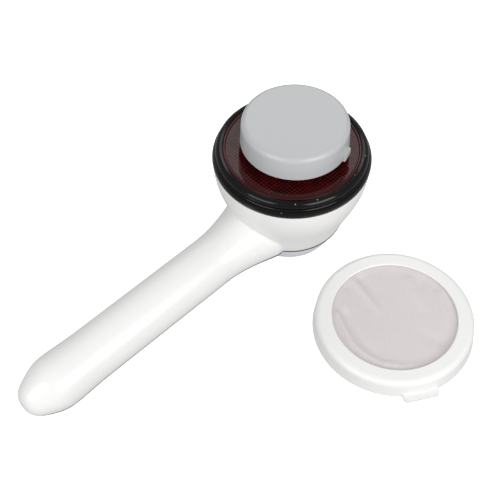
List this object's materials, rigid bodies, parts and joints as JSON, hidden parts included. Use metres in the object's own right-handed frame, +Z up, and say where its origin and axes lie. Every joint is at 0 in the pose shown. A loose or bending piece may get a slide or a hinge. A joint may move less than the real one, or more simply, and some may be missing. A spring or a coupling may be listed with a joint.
{
  "type": "handheld wand massager",
  "caption": "Cordless wand massager: bowl head with a red warming lens and an orbiting grey massage head, round handle, clip-on mesh cover lying beside it.",
  "frame": {"origin": "head axis on the rest plane, at the centre of the flat base", "axes": "+Z up along the motor axis, handle along -X, mesh cover towards -Y"},
  "size_m": [0.3333, 0.2572, 0.1244],
  "materials": {
    "white_abs": "gloss white ABS, fine moulded orange peel",
    "rear_abs": "cool pale lavender-white ABS",
    "black_abs": "piano-black ABS",
    "grey_abs": "satin neutral grey ABS",
    "red_lens": "clear deep-red polycarbonate with a prismatic face",
    "seal": "dark grey thermoplastic elastomer",
    "mesh": "fine pale lilac-grey polyester net",
    "steel": "zinc-plated steel",
    "race_steel": "polished bearing steel",
    "copper": "copper",
    "bronze": "sintered bronze",
    "laminate": "green solder mask on glass-epoxy board",
    "chip": "black epoxy package",
    "lamp": "red epoxy LED",
    "carbon": "pressed carbon",
    "ferrite": "ferrite magnet",
    "core": "laminated iron core",
    "cell_wrap": "blue shrink-wrapped lithium cell",
    "black_nylon": "black glass-filled nylon",
    "foam": "closed-cell foam",
    "wire_jacket": "PVC lead insulation"
  },
  "bodies": {
    "casing": {"front_housing": "white_abs", "rear_housing": "rear_abs", "seam_gasket": "seal", "housing_screws": "steel", "bezel_ring": "black_abs", "bezel_screws": "steel", "lens_gasket": "seal", "warming_lens": "red_lens", "lamp_board": "laminate", "lamp_leds": "lamp", "board_spacers": "black_nylon", "lamp_board_screws": "steel", "motor_chassis": "black_nylon", "chassis_screws": "steel", "motor_can": "steel", "motor_magnets": "ferrite", "motor_end_cap": "black_nylon", "motor_brushes": "carbon", "motor_terminals": "copper", "motor_bushings": "bronze", "motor_screws": "steel", "motor_cushion": "seal", "control_board": "laminate", "board_screws": "steel", "driver_chip": "chip", "capacitor": "chip", "speed_pot_body": "black_nylon", "wheel_bracket": "black_nylon", "battery_cells": "cell_wrap", "battery_tabs": "steel", "battery_cradle": "black_nylon", "foam_pads": "foam", "charge_socket": "black_nylon", "socket_bushing": "grey_abs", "motor_leads": "wire_jacket", "lamp_leads": "wire_jacket", "battery_leads": "wire_jacket", "socket_leads": "wire_jacket"},
    "crank": {"motor_shaft": "steel", "armature": "core", "commutator": "copper", "crank_hub": "steel", "crank_grub_screw": "steel", "crank_end_screw": "steel", "bearing_inner_race": "race_steel"},
    "carrier": {"bearing_outer_race": "race_steel", "bearing_balls": "race_steel", "carrier_plate": "black_nylon", "grip_ring": "seal"},
    "massage_head": {"head_cap": "grey_abs", "head_sockets": "grey_abs"},
    "speed_dial": {"speed_wheel": "black_nylon", "speed_wheel_shaft": "steel"},
    "mesh_cover": {"cover_ring": "white_abs", "cover_mesh": "mesh", "mesh_clamp_ring": "white_abs"}
  },
  "joints": [
    {"name": "crank_spin", "type": "hinge", "parent": "casing", "child": "crank", "pos_m": [0, 0, 0.07], "axis": [0, 0, 1], "continuous": true},
    {"name": "carrier_spin", "type": "hinge", "parent": "crank", "child": "carrier", "pos_m": [0.0024, 0, 0.1041], "axis": [0, 0, 1], "continuous": true},
    {"name": "head_lift", "type": "slide", "parent": "carrier", "child": "massage_head", "axis": [0, 0, 1], "range_m": [0, 0.04]},
    {"name": "speed_wheel_turn", "type": "hinge", "parent": "casing", "child": "speed_dial", "pos_m": [-0.07, 0, 0.01641], "axis": [0, 1, 0], "range_deg": [0, 270]},
    {"name": "cover_lift", "type": "slide", "parent": "casing", "child": "mesh_cover", "axis": [0, 0, 1], "range_m": [0, 0.15]}
  ]
}
